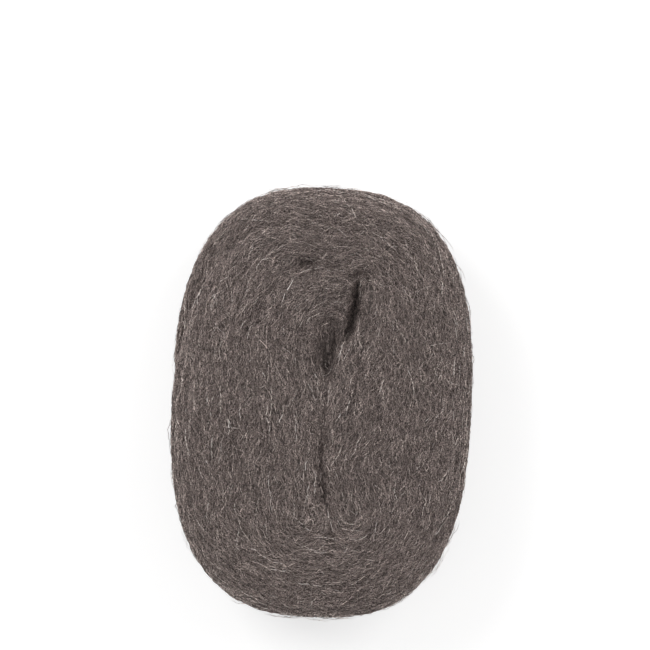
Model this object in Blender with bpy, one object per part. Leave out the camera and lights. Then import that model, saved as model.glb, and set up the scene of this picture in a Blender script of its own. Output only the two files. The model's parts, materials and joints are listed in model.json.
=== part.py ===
"""Steel wool bundle: one long, thick strand of fine steel wool, wound flat around its own inner end into an
oval roll, and laid on one of its two end faces, so that the winding shows from above. X runs across the
roll, Y along it and Z up, along the width of the strand. The origin is under the middle of the roll."""

import math

import bmesh
import bpy
from mathutils import Vector

# Overall form
ROLL_WIDTH = 0.1115  # across the two straight sides
ROLL_LENGTH = 0.1600  # over the two rounded ends
STRAND_WIDTH = 0.0640  # the strand's width, and so the height of the roll as it lies
OUTLINE_FULLNESS = 2.7  # 2 is an ellipse, and more has fuller corners
OUTLINE_LEAN = math.radians(2.5)  # how far the roll has slumped to one side

# The seam in the middle, where the strand meets its own inner stretch
SEAM_TOP = 0.0308  # from the roll's centre to the seam's upper end
SEAM_BOTTOM = 0.0485  # from the roll's centre to the seam's lower end
SEAM_BOW = 0.0070  # how far the seam's ends lie beside its middle
SEAM_GAP = 0.0005
TOP_EYE_RADIUS = 0.0015  # the open end of the seam under the inner end of the strand
BOTTOM_EYE_RADIUS = 0.0010  # the open end of the seam where the strand turns back
DEEP_EYE_RADIUS = 0.0005  # what is left of both further in
EYE_FROM = 0.30  # the share of the way to the seam's end from which its gap widens into the eye
EYE_FULL = 0.95  # and from which it is the full eye

# Thickness of the strand's turns, measured outwards from the seam
INNER_TURN_SIDE = 0.0315
INNER_TURN_TOP = 0.0195
INNER_TURN_BOTTOM = 0.0190
SECOND_TURN_TOP = 0.0130
TURN_GAP = 0.0005

# The strand's two ends, placed in degrees of winding, counted from +X and on through the turns
INNER_END = 73.0
INNER_END_ROUNDING = 0.0030  # how much the blunt inner end is drawn in all round
INNER_END_LENGTH = 5.0  # degrees of winding over which it is drawn in
SLIT_FOOT = 384.0  # where the next turn parts from the seam, to pass round the inner end
SLIT_HEAD = 436.0  # where it has passed it
SLIT_HOLLOW = 1.5  # 1 would part it evenly, and more keeps the slit beside the end narrow
SLIT_DEPTH = 0.0160  # how far into the roll the slit and the eyes close up
DEEP_SLIT_FOOT = 420.0  # the same two places down there, where the turn lies against the inner end
DEEP_SLIT_HEAD = 431.0
TAIL_START = 790.0  # where the outer end begins to thin out
TAIL_NARROWING = 822.0  # where it begins to lose width too
TAIL_END = 886.0
TAIL_TIP_THICKNESS = 0.0018
TAIL_TIP_WIDTH = 0.0200
TAIL_STEP = 16.0  # degrees of winding over which the turn below fills out again beyond the tip

# Section of the strand
FACE_CROWN = 0.0045  # how far the end faces fall from the middle of the roll to its edge
PRESSED_FLAT = 0.0028  # how much of that the roll's own weight has flattened underneath
SHOULDER_RADIUS = 0.0030  # where one turn meets the next
EDGE_ROUNDING = 0.0120  # the outer edge of the roll, measured inwards
EDGE_DEPTH = 0.0230  # the same edge, measured down the side
FREE_BEFORE = 60.0  # degrees of winding from where the strand's outer edges begin to round to the tail's end
FREE_AFTER = 10.0  # and from there to where they are fully round, with no turn outside them
MOST_SHOULDER = 0.2  # a thin stretch is rounded by this share of its thickness at most
MOST_EDGE = 0.6
FACE_LOCKS = 3  # locks of fibre side by side across a face of the strand, with a furrow between each two
EDGE_LOCKS = 3  # and over each of its outer edges, with one more along the middle of its outer side
FURROW_DEPTH = 0.0010
MOST_FURROW = 0.1  # and a narrow lock has furrows of this share of its width at most

# Fineness of the mesh
STATIONS_PER_TURN = 48
SHOULDER_STEPS = 2
STEPS_PER_LOCK = 3

SHARP_FROM = math.radians(40)  # edges bent more than this are shaded as creases

# The wool's finish
WOOL_GREY = (0.130, 0.110, 0.102, 1.0)
WOOL_METALLIC = 0.6
WOOL_ROUGHNESS = 0.65


def ease(value, start, end):
    """0 before start, 1 after end, and a smooth step between them."""
    t = min(1.0, max(0.0, (value - start) / (end - start)))
    return t * t * (3.0 - 2.0 * t)


def outline_point(angle):
    """The roll's outer edge, in plan, at this polar angle: a full oval that leans to one side."""
    across = abs(math.cos(angle)) / (ROLL_WIDTH / 2)
    along = abs(math.sin(angle)) / (ROLL_LENGTH / 2)
    radius = (across**OUTLINE_FULLNESS + along**OUTLINE_FULLNESS) ** (-1 / OUTLINE_FULLNESS)
    turned = angle - OUTLINE_LEAN
    return Vector((radius * math.cos(turned), radius * math.sin(turned)))


def seam_point(angle):
    """The place on the seam that the outline at this angle is wound around."""
    reach = outline_point(angle).y / (ROLL_LENGTH / 2)
    reach = max(-1.0, min(1.0, reach))
    y = (SEAM_TOP if reach > 0 else SEAM_BOTTOM) * reach * (2.0 - abs(reach))
    middle = (SEAM_TOP - SEAM_BOTTOM) / 2
    half = (SEAM_TOP + SEAM_BOTTOM) / 2
    return Vector((SEAM_BOW * ((y - middle) / half) ** 2, y))


def turn_boundary(degrees):
    """How far out the strand's outer side lies at this winding: 0 at the seam and 1 at the outline."""
    angle = math.radians(degrees)
    side = INNER_TURN_SIDE / (ROLL_WIDTH / 2)
    if math.sin(angle) < 0:
        end = INNER_TURN_BOTTOM / (ROLL_LENGTH / 2 - SEAM_BOTTOM)
    elif degrees < 270.0:
        end = INNER_TURN_TOP / (ROLL_LENGTH / 2 - SEAM_TOP)
    else:
        end = (INNER_TURN_TOP + SECOND_TURN_TOP) / (ROLL_LENGTH / 2 - SEAM_TOP)
    fraction = side + (end - side) * math.sin(angle) ** 2
    tip = TAIL_TIP_THICKNESS / (ROLL_WIDTH / 2)
    under_tail = (1.0 - tip - fraction) * ease(degrees, TAIL_START - 360.0, TAIL_END - 360.0)
    return fraction + under_tail + tip * ease(degrees, TAIL_END - 360.0, TAIL_END - 360.0 + TAIL_STEP)


def eye_radius(angle, deep):
    """Half the opening of the seam: a thin gap that widens into a small eye at each end."""
    reach = math.sin(angle)
    widest = TOP_EYE_RADIUS if reach > 0 else BOTTOM_EYE_RADIUS
    widest = DEEP_EYE_RADIUS if deep else widest
    return SEAM_GAP / 2 + (widest - SEAM_GAP / 2) * ease(abs(reach), EYE_FROM, EYE_FULL)


def inner_side(degrees, span, deep):
    """How far out its inner side lies: along the seam, round the slit, then against the turn within."""
    if degrees >= SLIT_HEAD:
        return turn_boundary(degrees - 360.0) + TURN_GAP / 2 / span
    foot, slit_head = (DEEP_SLIT_FOOT, DEEP_SLIT_HEAD) if deep else (SLIT_FOOT, SLIT_HEAD)
    parted = min(1.0, max(0.0, (degrees - foot) / (slit_head - foot))) ** SLIT_HOLLOW
    beside_end = turn_boundary(SLIT_HEAD - 360.0) + TURN_GAP / 2 / span
    return max(eye_radius(math.radians(degrees), deep) / span, beside_end * parted)


def strand_sides(degrees):
    """The strand's two sides in plan, how far out each lies, and how much the slit closes deep down."""
    angle = math.radians(degrees)
    seam = seam_point(angle)
    ray = outline_point(angle) - seam
    span = ray.length
    covered = 1.0 - ease(degrees, TAIL_END - 360.0, TAIL_END - 360.0 + TAIL_STEP)
    outer = turn_boundary(degrees) - TURN_GAP / 2 / span * covered
    inner = inner_side(degrees, span, deep=False)
    closing = (inner - inner_side(degrees, span, deep=True)) * span
    return seam + ray * inner, seam + ray * outer, inner, outer, closing


def furrow(step, lock_width):
    """How deep the surface is sunk at this step: each lock is round, with a furrow on either side."""
    return 0.0 if step % STEPS_PER_LOCK else min(FURROW_DEPTH, lock_width * MOST_FURROW)


def strand_section(degrees):
    """The corners of the strand's cross-section at this winding, in order round it."""
    near, far, inner, outer, closing = strand_sides(degrees)
    thickness = (far - near).length
    under_tail_end = TAIL_END - 360.0
    free = ease(degrees, under_tail_end - FREE_BEFORE, under_tail_end + FREE_AFTER)
    narrowing = ease(degrees, TAIL_NARROWING, TAIL_END)
    edge_depth = SHOULDER_RADIUS + (EDGE_DEPTH - SHOULDER_RADIUS) * free * (1.0 - narrowing)
    shoulder = min(SHOULDER_RADIUS, thickness * MOST_SHOULDER)
    edge = SHOULDER_RADIUS + (EDGE_ROUNDING - SHOULDER_RADIUS) * free
    edge = min(edge, thickness * MOST_EDGE)
    lowered = (STRAND_WIDTH - TAIL_TIP_WIDTH) / 2 * narrowing

    upper = []
    for step in range(SHOULDER_STEPS + 1):
        turn = math.pi / 2 * step / SHOULDER_STEPS
        upper.append((shoulder * (1 - math.cos(turn)), shoulder * (1 - math.sin(turn))))
    face_end = thickness - edge
    face_lock = (face_end - shoulder) / FACE_LOCKS
    for step in range(1, FACE_LOCKS * STEPS_PER_LOCK):
        upper.append((shoulder + face_lock * step / STEPS_PER_LOCK, furrow(step, face_lock)))
    edge_steps = EDGE_LOCKS * STEPS_PER_LOCK
    edge_lock = math.pi / 2 * (edge + edge_depth) / 2 / EDGE_LOCKS
    for step in range(edge_steps + 1):
        turn = math.pi / 2 * step / edge_steps
        lock = edge_lock if step else min(edge_lock, face_lock)
        sunk = furrow(step, lock) * free * (1.0 - narrowing)
        across = face_end + (edge - sunk) * math.sin(turn)
        upper.append((across, edge_depth - (edge_depth - sunk) * math.cos(turn)))

    profile = []
    for across, drop in upper:
        fraction = inner + (outer - inner) * across / thickness
        profile.append((across, STRAND_WIDTH / 2 - FACE_CROWN * fraction**2 - drop - lowered))
    profile.append((thickness, profile[-1][1] / 2))
    underside = [(across, -height) for across, height in reversed(profile)]
    closed = profile[0][1] * (1.0 - SLIT_DEPTH / (STRAND_WIDTH / 2))
    inner_wall = [(-closing, -closed), (-closing, closed)]

    direction = (far - near).normalized()
    corners = []
    for across, height in profile + underside + inner_wall:
        plan = near + direction * across
        corners.append(Vector((plan.x, plan.y, height)))
    return corners


def press_flat(corner):
    """The roll's weight flattens the lowest part of its underside."""
    lowest = -STRAND_WIDTH / 2 + PRESSED_FLAT
    return Vector((corner.x, corner.y, max(corner.z, lowest)))


def drawn_in(corners, amount):
    """The same section, made smaller all round by this amount."""
    middle = sum(corners, Vector()) / len(corners)
    offsets = [corner - middle for corner in corners]
    return [middle + offset * (1.0 - amount / offset.length) for offset in offsets]


def end_rounding(degrees):
    """How much the strand's blunt inner end is drawn in here: a quarter circle in section."""
    along = min(1.0, (degrees - INNER_END) / INNER_END_LENGTH)
    return INNER_END_ROUNDING * (1.0 - math.sqrt(along * (2.0 - along)))


def wind_strand():
    """Sweeps the section along the winding, one extrusion for each station."""
    step = 360.0 / STATIONS_PER_TURN
    windings = [INNER_END, INNER_END + INNER_END_LENGTH / 4, INNER_END + INNER_END_LENGTH / 2]
    station = math.ceil((INNER_END + INNER_END_LENGTH) / step)
    while station * step < TAIL_END - step / 2:
        windings.append(station * step)
        station += 1
    windings.append(TAIL_END)

    mesh = bmesh.new()
    section = drawn_in(strand_section(INNER_END), end_rounding(INNER_END))
    ring = [mesh.verts.new(press_flat(corner)) for corner in section]
    inner_end = face = mesh.faces.new(ring)
    for winding in windings[1:]:
        section = drawn_in(strand_section(winding), end_rounding(winding))
        extruded = bmesh.ops.extrude_face_region(mesh, geom=[face])["geom"]
        if face is not inner_end:
            bmesh.ops.delete(mesh, geom=[face], context="FACES_ONLY")
        face = next(item for item in extruded if isinstance(item, bmesh.types.BMFace))
        for vert, corner in zip(face.verts, section):
            vert.co = press_flat(corner)
    return mesh


def centre_on_footprint(mesh):
    """Puts the origin under the middle of the roll, at the height of its flat underside."""
    low = Vector([min(vert.co[axis] for vert in mesh.verts) for axis in range(3)])
    high = Vector([max(vert.co[axis] for vert in mesh.verts) for axis in range(3)])
    shift = Vector((-(low.x + high.x) / 2, -(low.y + high.y) / 2, -low.z))
    bmesh.ops.translate(mesh, verts=mesh.verts, vec=shift)


def wool_material():
    """Fine bright steel fibres, dark between them: a grey metal with little shine as a whole."""
    material = bpy.data.materials.new("steel_wool")
    material.use_nodes = True
    shader = material.node_tree.nodes["Principled BSDF"]
    shader.inputs["Base Color"].default_value = WOOL_GREY
    shader.inputs["Metallic"].default_value = WOOL_METALLIC
    shader.inputs["Roughness"].default_value = WOOL_ROUGHNESS
    return material


def make_wool_roll():
    mesh = wind_strand()
    centre_on_footprint(mesh)
    data = bpy.data.meshes.new("wool_roll")
    mesh.to_mesh(data)
    mesh.free()
    data.shade_smooth()
    data.set_sharp_from_angle(angle=SHARP_FROM)
    data.materials.append(wool_material())
    roll = bpy.data.objects.new("wool_roll", data)
    bpy.context.scene.collection.objects.link(roll)


for old in list(bpy.data.objects):
    bpy.data.objects.remove(old)
make_wool_roll()
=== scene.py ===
"""Looks of the steel wool bundle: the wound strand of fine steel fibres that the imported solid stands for,
on a pale floor in soft studio light. All sizes are in metres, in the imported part's own frame, with +Z up."""

import json
import math

import bmesh
import bpy
import numpy as np
from mathutils import Matrix, Vector, noise
from mathutils.bvhtree import BVHTree

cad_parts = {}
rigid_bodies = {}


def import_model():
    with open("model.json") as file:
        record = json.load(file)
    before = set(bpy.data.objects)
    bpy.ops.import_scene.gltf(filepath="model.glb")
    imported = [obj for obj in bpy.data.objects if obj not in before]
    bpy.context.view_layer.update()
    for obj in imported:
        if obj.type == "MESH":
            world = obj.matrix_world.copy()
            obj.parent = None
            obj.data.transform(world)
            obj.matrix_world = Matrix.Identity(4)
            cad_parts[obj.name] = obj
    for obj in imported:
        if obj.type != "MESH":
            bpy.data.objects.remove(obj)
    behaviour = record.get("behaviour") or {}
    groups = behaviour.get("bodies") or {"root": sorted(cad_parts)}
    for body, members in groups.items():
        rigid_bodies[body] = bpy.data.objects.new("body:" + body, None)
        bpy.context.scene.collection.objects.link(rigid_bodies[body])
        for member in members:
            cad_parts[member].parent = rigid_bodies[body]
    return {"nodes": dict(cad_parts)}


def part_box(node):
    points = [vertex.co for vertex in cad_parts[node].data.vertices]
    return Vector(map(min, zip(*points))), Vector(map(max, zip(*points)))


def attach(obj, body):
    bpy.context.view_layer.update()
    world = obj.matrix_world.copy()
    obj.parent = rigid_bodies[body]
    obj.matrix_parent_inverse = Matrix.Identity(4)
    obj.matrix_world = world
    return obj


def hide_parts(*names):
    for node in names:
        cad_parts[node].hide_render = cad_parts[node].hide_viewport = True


for old in list(bpy.data.objects):
    bpy.data.objects.remove(old)
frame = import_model()
scene = bpy.context.scene
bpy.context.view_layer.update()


# The body of the roll: one long strand of carded steel wool, wound flat round its own inner end. Its turns
# have felted into each other where they touch, so only soft grooves are left between them. Loose wool fills
# the slit beside the inner end and the seam in the middle, where the surface only dips.
SKIN_FINENESS = 0.0011
SAME_PLACE = 1e-6
FELTED = 0.0012  # gaps narrower than twice this have closed
SKIN_SOFTENING = 5
LOOSE_WOOL_SIDES = 32
LOOSE_WOOL = [  # middle, size and turn of what fills the slit, and the seam
    ((0.0098, 0.0335, 0.0495), (0.0110, 0.0380, 0.0220), math.radians(-17)),
    ((0.0010, -0.0140, 0.0495), (0.0090, 0.0760, 0.0220), 0.0),
]
GROOVES = [  # each a route of x, y, half width and depth
    [(.0138, .0474, .0014, .0010), (.0134, .0448, .0017, .0042), (.0133, .0415, .0020, .0060),
     (.0123, .0354, .0025, .0074), (.0115, .0302, .0027, .0073), (.0101, .0267, .0024, .0070),
     (.0088, .0243, .0020, .0056), (.0084, .0225, .0016, .0030)],  # the slit
    [(.0088, .0238, .0012, .0020), (.0104, .0225, .0011, .0014),
     (.0115, .0185, .0010, .0006)],  # its faint tail
    [(.0048, .0285, .0014, .0030), (.0051, .0250, .0016, .0058), (.0045, .0218, .0018, .0068),
     (.0038, .0188, .0020, .0066), (.0025, .0155, .0034, .0066), (.0021, .0134, .0036, .0064),
     (.0026, .0100, .0020, .0026)],  # the gape
    [(.0014, .0245, .0012, .0036), (.0009, .0205, .0014, .0060),
     (.0012, .0168, .0017, .0064)],  # its other side
    [(.0075, .0390, .0036, .0012), (.0040, .0300, .0056, .0036), (.0020, .0220, .0062, .0044),
     (.0010, .0150, .0060, .0044), (.0014, .0105, .0042, .0022)],  # the soft hollow beside slit and gape
    [(.0022, .0122, .0012, .0008), (.0008, -.0079, .0013, .0012), (-.0006, -.0229, .0018, .0028),
     (.0001, -.0300, .0022, .0038), (.0006, -.0345, .0023, .0040), (.0014, -.0385, .0016, .0022),
     (.0028, -.0430, .0013, .0012), (.0042, -.0490, .0022, .0026), (.0060, -.0500, .0018, .0014)],  # the seam
    [(.0195, .0458, .0014, .0010), (.0174, .0468, .0019, .0032), (.0142, .0472, .0020, .0036),
     (.0112, .0466, .0020, .0030), (.0084, .0472, .0020, .0018), (.0020, .0510, .0018, .0012),
     (-.0022, .0516, .0020, .0016), (-.0044, .0519, .0033, .0045), (-.0058, .0519, .0033, .0045),
     (-.0088, .0506, .0020, .0014), (-.0107, .0485, .0018, .0008),
     (-.0145, .0421, .0016, .0003)],  # over the end of the inner stretch, with a dimple
]
GROOVES_FROM = 0.040  # height from which the grooves of the upper face are pressed in
GROOVES_FULL = 0.050
TIP_DIP = (.0120, .0310)  # y and z, on the left side, of the dip past the outer end's tip, felted full
TIP_DIP_REACH = (.0055, .0120)
TIP_DIP_DEPTH = 0.0010
LUMP_HEIGHT = 0.0002
LUMP_SCALE = 160.0  # lumps in a metre
# Painted shade: the packed wool is coloured much darker than the fibres on it, for the shade deep between
# them.
PACKED_DARK_AND_DEPTH_SHADE = (0.040, 0.032, 0.029, 1.0)
PACKED_LIGHT_AND_DEPTH_SHADE = (0.140, 0.114, 0.104, 1.0)
SPECKS = 900.0  # in a metre
SPECK_RELIEF = 0.0004

roll_low, roll_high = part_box("wool_roll")
HALF_WIDTH = (roll_high.x - roll_low.x) / 2


def ease(value, start, end):
    """0 before start, 1 after end, and a smooth step between them."""
    share = np.clip((value - start) / (end - start), 0.0, 1.0)
    return share * share * (3.0 - 2.0 * share)


def sunk(places):
    """How deep the grooves of the upper face are pressed in at each place."""
    deepest = np.zeros(len(places))
    for groove in GROOVES:
        for start, end in zip(groove[:-1], groove[1:]):
            start, change = np.array(start), np.subtract(end, start)
            share = (places - start[:2]) @ change[:2] / (change[:2] @ change[:2])
            nearest = start + np.clip(share, 0.0, 1.0)[:, None] * change
            away = np.hypot(*(places - nearest[:, :2]).T)
            deepest = np.maximum(deepest, nearest[:, 3] * np.exp(-((away / nearest[:, 2]) ** 2)))
    return deepest


def worked_out(piece):
    """The mesh of a piece, or of a curve, with all that is set on it worked out."""
    return bpy.data.meshes.new_from_object(piece.evaluated_get(bpy.context.evaluated_depsgraph_get()))


def rows_of_three(items, field):
    """What a mesh's corners or faces hold in this field, one row for each."""
    values = np.empty(len(items) * 3)
    items.foreach_get(field, values)
    return values.reshape(-1, 3)


body_form = bmesh.new()
body_form.from_mesh(frame["nodes"]["wool_roll"].data)
bmesh.ops.remove_doubles(body_form, verts=body_form.verts, dist=SAME_PLACE)
for middle, size, turned in LOOSE_WOOL:
    filling = bmesh.ops.create_cone(body_form, cap_ends=True, segments=LOOSE_WOOL_SIDES,
                                    radius1=0.5, radius2=0.5, depth=1.0)["verts"]
    bmesh.ops.scale(body_form, vec=size, verts=filling)
    bmesh.ops.rotate(body_form, matrix=Matrix.Rotation(turned, 3, "Z"), verts=filling)
    bmesh.ops.translate(body_form, vec=middle, verts=filling)
body_form.normal_update()
for vert in body_form.verts:
    vert.co += vert.normal * FELTED
body_data = bpy.data.meshes.new("wound_strand")
body_form.to_mesh(body_data)
body_form.free()
body = bpy.data.objects.new("wound_strand", body_data)
scene.collection.objects.link(body)
felt = body.modifiers.new("felted together", "REMESH")
felt.mode = "VOXEL"
felt.voxel_size = SKIN_FINENESS
draw_back = body.modifiers.new("drawn back", "DISPLACE")
draw_back.strength = -FELTED
draw_back.mid_level = 0.0
soften = body.modifiers.new("softened", "SMOOTH")
soften.factor = 0.5
soften.iterations = SKIN_SOFTENING
body_data = worked_out(body)
body.modifiers.clear()
body.data = body_data

corners = rows_of_three(body_data.vertices, "co")
corners[:, 2] -= sunk(corners[:, :2]) * ease(corners[:, 2], GROOVES_FROM, GROOVES_FULL)
from_dip = (((corners[:, 1:] - TIP_DIP) / TIP_DIP_REACH) ** 2).sum(axis=1)
left_side = corners[:, 0] < -HALF_WIDTH / 2
corners[:, 0] -= TIP_DIP_DEPTH * np.exp(-from_dip) * left_side
body_data.vertices.foreach_set("co", corners.ravel())
body_data.update()
lumps = np.array([noise.noise(Vector(corner) * LUMP_SCALE) for corner in corners])
corners += rows_of_three(body_data.vertex_normals, "vector") * lumps[:, None] * LUMP_HEIGHT
corners[:, 2] = np.maximum(corners[:, 2], 0.0)
body_data.vertices.foreach_set("co", corners.ravel())
body_data.update()
body_data.shade_smooth()

# Painted shade: the packed wool's colour is much darker than the fibres', for the shade deep between them; its
# specks are tone that differs at random.
body_material = bpy.data.materials.new("packed_wool_and_depth_shade")
body_material.use_nodes = True
nodes, links = body_material.node_tree.nodes, body_material.node_tree.links
shader = nodes["Principled BSDF"]
shader.inputs["Metallic"].default_value = 0.4
shader.inputs["Roughness"].default_value = 0.75
place = nodes.new("ShaderNodeTexCoord")
specks = nodes.new("ShaderNodeTexNoise")
specks.inputs["Scale"].default_value = SPECKS
specks.inputs["Detail"].default_value = 3.0
links.new(place.outputs["Object"], specks.inputs["Vector"])
shades = nodes.new("ShaderNodeValToRGB")
shades.color_ramp.elements[0].position = 0.35
shades.color_ramp.elements[0].color = PACKED_DARK_AND_DEPTH_SHADE
shades.color_ramp.elements[1].position = 0.70
shades.color_ramp.elements[1].color = PACKED_LIGHT_AND_DEPTH_SHADE
links.new(specks.outputs["Fac"], shades.inputs["Fac"])
links.new(shades.outputs["Color"], shader.inputs["Base Color"])
bump = nodes.new("ShaderNodeBump")
bump.inputs["Strength"].default_value = 0.6
bump.inputs["Distance"].default_value = SPECK_RELIEF
links.new(specks.outputs["Fac"], bump.inputs["Height"])
links.new(bump.outputs["Normal"], shader.inputs["Normal"])
body_data.materials.clear()
body_data.materials.append(body_material)
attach(body, "root")
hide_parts("wool_roll")


# The lay of the fibres: carded steel fibres all lie along the strand, so on the roll they run round it like
# the rings of a tree. In the middle the strand is folded into two lobes, side by side, and they run round
# those. A grid over the roll, in plan, holds how far out each place lies, and fibres run across its slope.
HALF_LENGTH = (roll_high.y - roll_low.y) / 2
OUTLINE_FULLNESS = 2.7  # 2 is an ellipse, and more has fuller corners
OUTLINE_LEAN = math.radians(2.5)  # how far the roll has slumped to one side
OUTLINE_STEPS = 180
GRID_STEP = 0.001
GRID_MARGIN = 0.010
GRID_END = 1.001  # in steps: places past the grid are read this far before its end
LEFT_LOBE = [  # the middle of the inner stretch, up to its end beside the slit
    (-.0073, -.0410), (-.0081, -.0218), (-.0085, .0008), (-.0092, .0130), (-.0093, .0233), (-.0062, .0335),
    (.0000, .0392), (.0095, .0392),
]
RIGHT_LOBE = [  # the middle of the next stretch, which passes the slit
    (.0117, -.0410), (.0083, -.0331), (.0061, -.0229), (.0099, -.0079), (.0135, .0120), (.0158, .0250),
    (.0175, .0350), (.0195, .0425), (.0180, .0490),
]
LOBE_REACH = 0.0085  # from a lobe's line to its edge
LOBES_FADE_FROM = 0.020  # from here outwards the lobes give way to the rings
LOBES_FADE_TO = 0.038
CREASE = 0.0008  # how softly the lay turns where the lobes meet


def outline_radius(angle):
    """How far the roll's outline lies from its middle, in plan, before it leans."""
    across = np.abs(np.cos(angle)) / HALF_WIDTH
    along = np.abs(np.sin(angle)) / HALF_LENGTH
    return (across**OUTLINE_FULLNESS + along**OUTLINE_FULLNESS) ** (-1 / OUTLINE_FULLNESS)


def distance_to_route(places, route):
    """The shortest distance, in plan, from each place to a route of straight stretches."""
    nearest = np.full(len(places), np.inf)
    for start, end in zip(route[:-1], route[1:]):
        start, stretch = np.array(start), np.subtract(end, start)
        share = np.clip((places - start) @ stretch / (stretch @ stretch), 0.0, 1.0)
        away = places - start - share[:, None] * stretch
        nearest = np.minimum(nearest, np.hypot(away[:, 0], away[:, 1]))
    return nearest


def read_grid(grid, places):
    """A grid's values at these places in plan, taken in straight lines between its nearest points."""
    across = np.clip((places[:, 0] - grid_x[0]) / GRID_STEP, 0, len(grid_x) - GRID_END)
    along = np.clip((places[:, 1] - grid_y[0]) / GRID_STEP, 0, len(grid_y) - GRID_END)
    column, row = across.astype(int), along.astype(int)
    right, above = across - column, along - row
    lower = grid[row, column] * (1 - right) + grid[row, column + 1] * right
    upper = grid[row + 1, column] * (1 - right) + grid[row + 1, column + 1] * right
    return lower * (1 - above) + upper * above


grid_x = np.arange(-HALF_WIDTH - GRID_MARGIN, HALF_WIDTH + GRID_MARGIN, GRID_STEP)
grid_y = np.arange(-HALF_LENGTH - GRID_MARGIN, HALF_LENGTH + GRID_MARGIN, GRID_STEP)
grid_places = np.stack([axis.ravel() for axis in np.meshgrid(grid_x, grid_y)], axis=1)
angles = np.linspace(0.0, math.tau, OUTLINE_STEPS + 1)
outline = np.stack([np.cos(angles - OUTLINE_LEAN), np.sin(angles - OUTLINE_LEAN)], axis=1)
outline = outline * outline_radius(angles)[:, None]
place_angles = np.arctan2(grid_places[:, 1], grid_places[:, 0]) + OUTLINE_LEAN
inside = np.hypot(grid_places[:, 0], grid_places[:, 1]) < outline_radius(place_angles)
outline_distance = distance_to_route(grid_places, outline)
ring_reach = HALF_WIDTH - np.where(inside, outline_distance, -outline_distance)
left_distance = distance_to_route(grid_places, LEFT_LOBE)
right_distance = distance_to_route(grid_places, RIGHT_LOBE)
lobe_distance = -CREASE * np.logaddexp(-left_distance / CREASE, -right_distance / CREASE)
lobe_share = 1.0 - ease(ring_reach, LOBES_FADE_FROM, LOBES_FADE_TO)
rings = ring_reach * (1.0 - lobe_share) + (lobe_distance + LOBE_REACH) * lobe_share
slope_y, slope_x = np.gradient(rings.reshape(len(grid_y), len(grid_x)), GRID_STEP)


# The fibres on the faces of the roll: shaved steel, three-cornered and crimped, in bunches fine enough to
# read as single hairs. They are laid on the body by the thousand, along the lay, with their ends tucked in.
# Each is a darker or brighter steel, much like the others in its lock, with painted shade down in the grooves
# and painted glints along it.
FIBRE_CORNERS = 3
FIBRE_TAPER = (0.0, 1.0, 1.0, 0.0)
FIBRE_LENGTH = (0.0035, 0.0085)
FIBRE_RADIUS = (0.00005, 0.00012)
FIBRE_LIFT = (-0.00010, 0.00045)
FIBRE_TUCK = 0.00030  # how far the ends lie below the rest
FIBRE_RIPPLE = 0.00018
FIBRE_CRIMP = 0.00036
FIBRE_STRAY = math.radians(17)  # how far a fibre runs off the lay
FIBRE_WANDER = math.radians(14)  # and how much that changes from one station to the next
STRAY_KEPT = 0.9  # the share of its stray that a fibre keeps from one station to the next
SWIRL = math.radians(13)  # how far whole locks run off the lay
SWIRL_SCALE = 110.0  # swirls in a metre
FIBRE_SAME_PLACE = 1e-7
ZONES = [  # name, pieces, fibres in each, lowest and highest slope of the surface under them, and coarseness
    ("face_fibres", 3, 14000, 0.45, 1.01, 1.0),
    ("side_fibres", 2, 11500, -0.70, 0.45, 1.3),
    ("under_fibres", 1, 4000, -1.01, -0.70, 1.6),
]
SHADES = 24  # rows of the fibres' map, from dark to bright steel
ROW_MARGIN = 0.1  # of a row, left free on both sides
END_MARGIN = 0.02  # of the map's width, left free at both ends of a fibre
MIDDLE_TONE = 0.5  # from 0, dark, to 1, bright
LOCK_CONTRAST = 0.12
LOCK_SCALE = 320.0  # locks in a metre
FIBRE_CONTRAST = 0.12
GROOVE_PAINTED_SHADE = 0.30  # painted shade: how much darker the fibres' colour is made down in a groove, where shade falls
GROOVE_PAINTED_SHADE_FROM = 0.001
GROOVE_PAINTED_SHADE_FULL = 0.006
GLINTS_ALONG = 15.0
GLINTS_ACROSS = 1.7  # in each row
FIBRE_DARK = (0.064, 0.051, 0.047, 1.0)
FIBRE_MIDDLE = (0.262, 0.212, 0.196, 1.0)
# The brightest steel is partly painted glint.
FIBRE_BRIGHT = (0.78, 0.67, 0.61, 1.0)
SEED = 7

surface = BVHTree.FromPolygons([vert.co for vert in body_data.vertices],
                               [list(face.vertices) for face in body_data.polygons])
face_middles = rows_of_three(body_data.polygons, "center")
face_normals = rows_of_three(body_data.polygons, "normal")
face_areas = np.empty(len(body_data.polygons))
body_data.polygons.foreach_get("area", face_areas)

fibre_material = bpy.data.materials.new("steel_fibre")
fibre_material.use_nodes = True
nodes, links = fibre_material.node_tree.nodes, fibre_material.node_tree.links
shader = nodes["Principled BSDF"]
shader.inputs["Metallic"].default_value = 0.6
shader.inputs["Roughness"].default_value = 0.45
fibre_coordinates = nodes.new("ShaderNodeUVMap")
fibre_coordinates.uv_map = "OFBake"
parts = nodes.new("ShaderNodeSeparateXYZ")
links.new(fibre_coordinates.outputs["UV"], parts.inputs["Vector"])
stretched = nodes.new("ShaderNodeMapping")
stretched.inputs["Scale"].default_value = (GLINTS_ALONG, SHADES * GLINTS_ACROSS, 1.0)
links.new(fibre_coordinates.outputs["UV"], stretched.inputs["Vector"])
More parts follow.
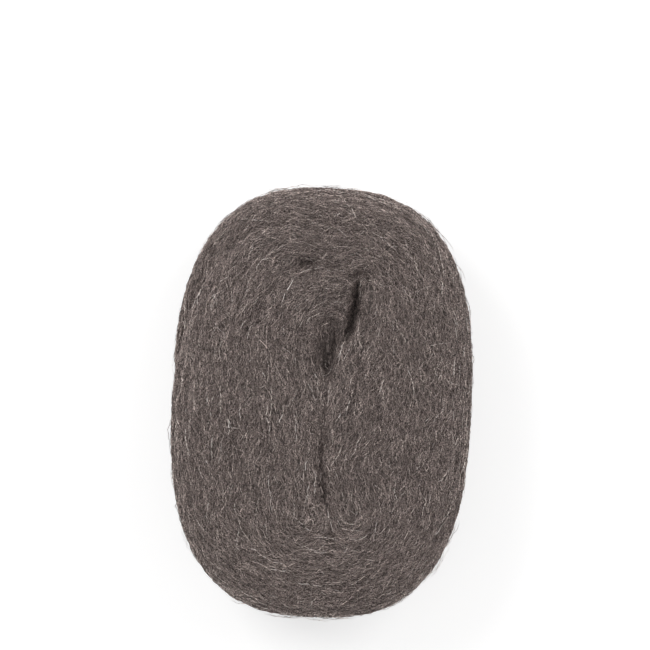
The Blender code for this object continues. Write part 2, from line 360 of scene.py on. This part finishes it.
# Painted glints, partly tone that differs at random: patches along each fibre make its colour brighter or
# darker.
glint = nodes.new("ShaderNodeTexNoise")
glint.noise_dimensions = "2D"
glint.inputs["Scale"].default_value = 1.0
glint.inputs["Detail"].default_value = 1.0
links.new(stretched.outputs["Vector"], glint.inputs["Vector"])
shade = nodes.new("ShaderNodeValToRGB")
shade.color_ramp.elements[0].position = 0.0
shade.color_ramp.elements[0].color = FIBRE_DARK
shade.color_ramp.elements[1].position = 1.0
shade.color_ramp.elements[1].color = FIBRE_BRIGHT
middle_shade = shade.color_ramp.elements.new(0.5)
middle_shade.color = FIBRE_MIDDLE
links.new(parts.outputs["Y"], shade.inputs["Fac"])
glint_patches = nodes.new("ShaderNodeMapRange")
glint_patches.inputs["From Min"].default_value = 0.38
glint_patches.inputs["From Max"].default_value = 0.62
glint_patches.inputs["To Min"].default_value = 0.14
glint_patches.inputs["To Max"].default_value = 2.04
links.new(glint.outputs["Fac"], glint_patches.inputs["Value"])
shaded = nodes.new("ShaderNodeVectorMath")
shaded.operation = "SCALE"
links.new(shade.outputs["Color"], shaded.inputs[0])
links.new(glint_patches.outputs["Result"], shaded.inputs["Scale"])
links.new(shaded.outputs["Vector"], shader.inputs["Base Color"])


def pick_roots(number, lowest, highest, draw, beyond=0.0):
    """Where fibres start: at random over the faces whose slope lies between these two, and which lie at
    least this far along the roll from its middle."""
    chance = face_areas * (face_normals[:, 2] >= lowest) * (face_normals[:, 2] < highest)
    chance = chance * (np.abs(face_middles[:, 1]) >= beyond)
    faces = draw.choice(len(chance), size=number, p=chance / chance.sum())
    return face_middles[faces] + draw.uniform(-0.5, 0.5, (number, 3)) * SKIN_FINENESS


def settled(places):
    """The nearest places on the body, its normals there, and the run of the locks there."""
    found = [surface.find_nearest(Vector(place)) for place in places]
    swirl = [noise.noise(hit[0] * SWIRL_SCALE) for hit in found]
    return np.array([hit[0] for hit in found]), np.array([hit[1] for hit in found]), np.array(swirl)


def run_fibres(roots, lengths, stations, stray, wander, draw):
    """Lets each fibre run along the lay from its root: its places, normals and ways aside, by station."""
    way = draw.choice([-1.0, 1.0], len(roots))
    off = draw.normal(0.0, stray, len(roots))
    places, normals, swirl = settled(roots)
    run = [(places, normals, np.zeros_like(places))]
    for _ in range(stations - 1):
        off = off * STRAY_KEPT + draw.normal(0.0, wander, len(roots))
        lay = [-read_grid(slope_y, places), read_grid(slope_x, places), np.zeros(len(places))]
        lay = np.stack(lay, axis=1)
        lay = lay - normals * (lay * normals).sum(axis=1)[:, None]
        lay = lay / (np.linalg.norm(lay, axis=1)[:, None] + 1e-9)
        sideways = np.cross(normals, lay)
        turn = (off + SWIRL * swirl)[:, None]
        step = (lay * np.cos(turn) + sideways * np.sin(turn)) * (way * lengths / (stations - 1))[:, None]
        places, normals, swirl = settled(places + step)
        run.append((places, normals, sideways))
    return run


def crimped(run, lift, crimp, thickest, draw):
    """The fibres' lines: above or below the surface by their lift, crimped, and with both ends tucked in. No
    line comes nearer to the floor than the thickest fibre's radius."""
    lines = []
    for station, (places, normals, sideways) in enumerate(run):
        down = FIBRE_TUCK if station in (0, len(run) - 1) else 0.0
        height = lift[station] - down + draw.normal(0.0, FIBRE_RIPPLE, len(places))
        aside = draw.normal(0.0, crimp, len(places))
        lines.append(places + normals * height[:, None] + sideways * aside[:, None])
    lines = np.stack(lines, axis=1)
    lines[:, :, 2] = np.maximum(lines[:, :, 2], thickest)
    return lines


def swept_fibres(name, lines, widths):
    """One mesh of three-cornered fibres along these lines, with these half widths at their stations."""
    corner = bpy.data.curves.new("fibre_corner", "CURVE")
    corner.dimensions = "2D"
    section = corner.splines.new("POLY")
    section.points.add(FIBRE_CORNERS - 1)
    for count, point in enumerate(section.points):
        angle = count * math.tau / FIBRE_CORNERS
        point.co = (math.cos(angle), math.sin(angle), 0.0, 1.0)
    section.use_cyclic_u = True
    corner_object = bpy.data.objects.new("fibre_corner", corner)
    scene.collection.objects.link(corner_object)
    curve = bpy.data.curves.new(name, "CURVE")
    curve.dimensions = "3D"
    curve.bevel_mode = "OBJECT"
    curve.bevel_object = corner_object
    points = np.concatenate([lines, np.ones((*lines.shape[:2], 1))], axis=2)
    for line, width in zip(points, widths):
        spline = curve.splines.new("POLY")
        spline.points.add(len(line) - 1)
        spline.points.foreach_set("co", line.ravel())
        spline.points.foreach_set("radius", width)
    curve_object = bpy.data.objects.new(name + "_lines", curve)
    scene.collection.objects.link(curve_object)
    data = worked_out(curve_object)
    bpy.data.objects.remove(curve_object)
    bpy.data.objects.remove(corner_object)
    return data


def map_fibres(data, stations, rows):
    """The fibres' map: along each fibre one way, and round it the other, within its row of shades. The last
    face round a fibre meets its first corner again, which counts there as one corner more."""
    loops = np.empty(len(data.loops), dtype=np.int32)
    data.loops.foreach_get("vertex_index", loops)
    fibre, rest = np.divmod(loops, stations * FIBRE_CORNERS)
    station, side = np.divmod(rest, FIBRE_CORNERS)
    quads = side.reshape(-1, 4)
    wraps = (quads == 0) & (quads == FIBRE_CORNERS - 1).any(axis=1)[:, None]
    side = np.where(wraps, FIBRE_CORNERS, quads).ravel()
    across = (rows[fibre] + ROW_MARGIN + (1 - 2 * ROW_MARGIN) * side / FIBRE_CORNERS) / SHADES
    along = END_MARGIN + (1 - 2 * END_MARGIN) * station / (stations - 1)
    for layer in list(data.uv_layers):
        data.uv_layers.remove(layer)
    fibre_map = data.uv_layers.new(name="OFBake")
    fibre_map.uv.foreach_set("vector", np.stack([along, across], axis=1).ravel())


def add_fibres(name, lines, radii, taper, rows):
    """Puts a mesh of fibres on the roll, with their ends closed and their faces turned outwards."""
    data = swept_fibres(name, lines, radii[:, None] * np.array(taper))
    map_fibres(data, len(taper), rows)
    closed = bmesh.new()
    closed.from_mesh(data)
    bmesh.ops.remove_doubles(closed, verts=closed.verts, dist=FIBRE_SAME_PLACE)
    bmesh.ops.reverse_faces(closed, faces=closed.faces)
    closed.to_mesh(data)
    closed.free()
    data.materials.append(fibre_material)
    fibres = bpy.data.objects.new(name, data)
    scene.collection.objects.link(fibres)
    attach(fibres, "root")


draw = np.random.default_rng(SEED)
for zone, pieces, number, lowest, highest, coarseness in ZONES:
    for piece in range(1, pieces + 1):
        roots = pick_roots(number, lowest, highest, draw)
        lengths = draw.uniform(*FIBRE_LENGTH, number) * coarseness
        run = run_fibres(roots, lengths, len(FIBRE_TAPER), FIBRE_STRAY, FIBRE_WANDER, draw)
        lift = np.tile(draw.uniform(*FIBRE_LIFT, number), (len(FIBRE_TAPER), 1))
        lines = crimped(run, lift, FIBRE_CRIMP, FIBRE_RADIUS[1] * coarseness, draw)
        locks = np.array([noise.noise(Vector(place) * LOCK_SCALE) for place in roots])
        # Painted shade: fibres rooted down in a groove are given a darker colour, for the shade that falls
        # there.
        painted_groove_shade = ease(sunk(roots[:, :2]), GROOVE_PAINTED_SHADE_FROM, GROOVE_PAINTED_SHADE_FULL)
        tones = MIDDLE_TONE + LOCK_CONTRAST * locks - GROOVE_PAINTED_SHADE * painted_groove_shade
        tones = draw.normal(tones, FIBRE_CONTRAST)
        rows = np.clip((tones * SHADES).astype(int), 0, SHADES - 1)
        radii = draw.uniform(*FIBRE_RADIUS, number) * coarseness
        add_fibres(f"{zone}_{piece}", lines, radii, FIBRE_TAPER, rows)


# Longer fibres on top of the rest: most lie along the locks and trace them, and some have sprung loose and
# stand in low arches across the others. Round the roll's two ends some have a free end that stands off it.
LONG_TAPER = (0.0, 0.7, 1.0, 1.0, 1.0, 1.0, 0.7, 0.0)
LONG_RADIUS = (0.00005, 0.00011)
LONG_CRIMP = 0.00022
WHOLE_ARCH = math.pi
FREE_END = math.pi / 2
LONG_KINDS = [  # name, number, slopes under them, least distance along the roll from its middle, lengths,
    # how far they stray and wander, arch, its height, and tones
    ("long_fibres", 1000, (-0.70, 1.01), 0.0, (0.007, 0.018),
     math.radians(8), math.radians(9), WHOLE_ARCH, (0.0000, 0.0004), (0.15, 1.00)),
    ("stray_fibres", 260, (-0.70, 1.01), 0.0, (0.006, 0.015),
     math.radians(45), math.radians(18), WHOLE_ARCH, (0.0002, 0.0012), (0.20, 1.00)),
    ("edge_fibres", 120, (-0.20, 0.30), 0.048, (0.008, 0.018),
     math.radians(25), math.radians(10), FREE_END, (0.0002, 0.0018), (0.40, 1.00)),
]

for name, number, slopes, beyond, length, stray, wander, arch, height, tones in LONG_KINDS:
    roots = pick_roots(number, *slopes, draw, beyond)
    run = run_fibres(roots, draw.uniform(*length, number), len(LONG_TAPER), stray, wander, draw)
    rise = np.sin(np.linspace(0.0, arch, len(LONG_TAPER)))[:, None]
    lift = FIBRE_LIFT[1] + rise * draw.uniform(*height, number)[None, :]
    lines = crimped(run, lift, LONG_CRIMP, LONG_RADIUS[1], draw)
    rows = (draw.uniform(*tones, number) * (SHADES - 1)).astype(int)
    add_fibres(name, lines, draw.uniform(*LONG_RADIUS, number), LONG_TAPER, rows)


# The place it is shown in: a pale floor, soft light from both upper corners, and the camera straight above,
# because the roll lies on its end face as it would come to rest. Floor and sky look paler than they light.
FLOOR_REACH = 6.0  # from its middle to each side
FLOOR_COLOUR = (0.60, 0.60, 0.60, 1.0)
FLOOR_GLOW = 0.60
SKY_LIGHT = 0.45
SKY_SEEN = 1.0
LAMP_SIZE = 0.60
LAMPS = [  # name, place and power
    ("left_lamp", (-0.70, 0.55, 1.00), 6.8),
    ("right_lamp", (0.70, 0.45, 1.00), 4.5),
]
VIEW_WIDTH = 0.2444  # what the picture shows across, at the roll's widest height
VIEW_MIDDLE = (0.0013, 0.0290)
WIDEST_HEIGHT = 0.031
LENS, SENSOR = 200.0, 36.0


def where_seen(tree):
    """A socket that is 1 for what the camera sees, straight or in the metal's gloss, and 0 otherwise."""
    ray = tree.nodes.new("ShaderNodeLightPath")
    seen = tree.nodes.new("ShaderNodeMath")
    seen.operation = "MAXIMUM"
    tree.links.new(ray.outputs["Is Camera Ray"], seen.inputs[0])
    tree.links.new(ray.outputs["Is Glossy Ray"], seen.inputs[1])
    return seen.outputs["Value"]


floor_form = bmesh.new()
bmesh.ops.create_grid(floor_form, x_segments=1, y_segments=1, size=FLOOR_REACH)
floor_data = bpy.data.meshes.new("floor")
floor_form.to_mesh(floor_data)
floor_form.free()
floor = bpy.data.objects.new("floor", floor_data)
scene.collection.objects.link(floor)
floor_material = bpy.data.materials.new("pale_floor")
floor_material.use_nodes = True
nodes, links = floor_material.node_tree.nodes, floor_material.node_tree.links
shader = nodes["Principled BSDF"]
shader.inputs["Base Color"].default_value = FLOOR_COLOUR
shader.inputs["Roughness"].default_value = 0.9
shader.inputs["Emission Color"].default_value = (1.0, 1.0, 1.0, 1.0)
glow = nodes.new("ShaderNodeMath")
glow.operation = "MULTIPLY"
glow.inputs[1].default_value = FLOOR_GLOW
links.new(where_seen(floor_material.node_tree), glow.inputs[0])
links.new(glow.outputs["Value"], shader.inputs["Emission Strength"])
floor_data.materials.append(floor_material)

world = bpy.data.worlds.new("studio")
scene.world = world
world.use_nodes = True
nodes, links = world.node_tree.nodes, world.node_tree.links
sky = nodes["Background"]
sky.inputs["Color"].default_value = (1.0, 1.0, 1.0, 1.0)
level = nodes.new("ShaderNodeMapRange")
level.inputs["To Min"].default_value = SKY_LIGHT
level.inputs["To Max"].default_value = SKY_SEEN
links.new(where_seen(world.node_tree), level.inputs["Value"])
links.new(level.outputs["Result"], sky.inputs["Strength"])

for name, place, power in LAMPS:
    lamp = bpy.data.lights.new(name, "AREA")
    lamp.size = LAMP_SIZE
    lamp.energy = power
    lamp_object = bpy.data.objects.new(name, lamp)
    lamp_object.location = place
    lamp_object.rotation_euler = (-Vector(place)).to_track_quat("-Z", "Y").to_euler()
    scene.collection.objects.link(lamp_object)

camera = bpy.data.cameras.new("camera")
camera.lens = LENS
camera.sensor_width = SENSOR
camera_object = bpy.data.objects.new("camera", camera)
camera_object.location = (*VIEW_MIDDLE, WIDEST_HEIGHT + VIEW_WIDTH * LENS / SENSOR)
scene.collection.objects.link(camera_object)
scene.camera = camera_object
scene.view_settings.view_transform = "Standard"
